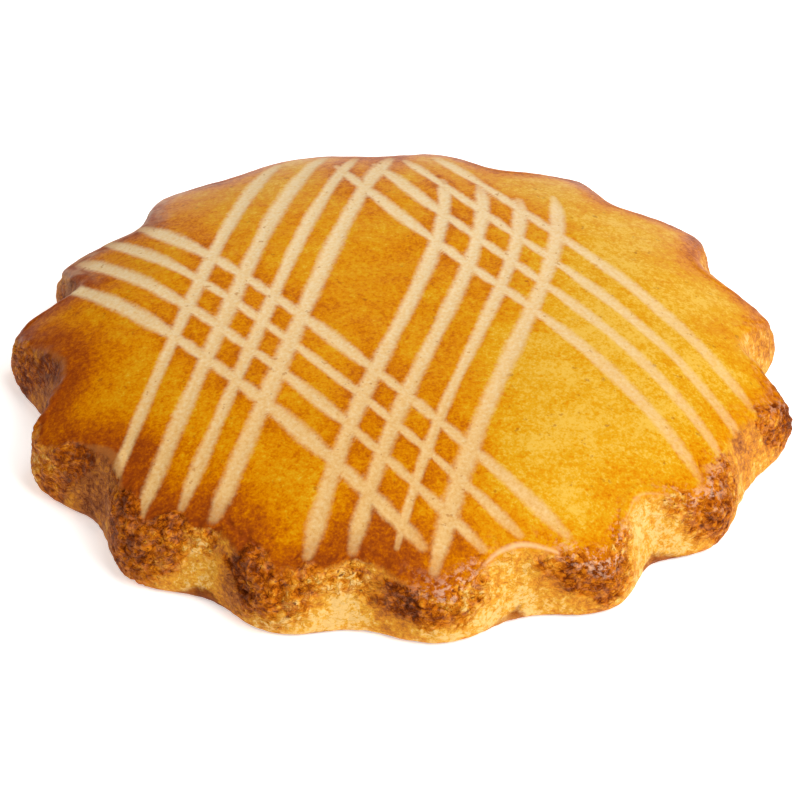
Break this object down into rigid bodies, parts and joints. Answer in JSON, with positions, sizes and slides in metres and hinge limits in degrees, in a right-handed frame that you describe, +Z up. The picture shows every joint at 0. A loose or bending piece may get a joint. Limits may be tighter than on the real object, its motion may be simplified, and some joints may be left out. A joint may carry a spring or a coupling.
{
  "type": "sugar shortbread cookie",
  "caption": "Round fluted shortbread cookie with a domed golden glazed top scored with crossing fork lines and a craggy baked side.",
  "frame": {"origin": "middle of the flat underside", "axes": "+Z up through the domed top, -Y towards the side with the broad unscored patch on its left, +X to the right of that view"},
  "size_m": [0.1019, 0.0999, 0.0152],
  "materials": {
    "baked_crust": "egg-washed baked shortbread, satin on top and matt and crumbly at the side"
  },
  "bodies": {
    "root": {"shortbread": "baked_crust"}
  },
  "joints": []
}
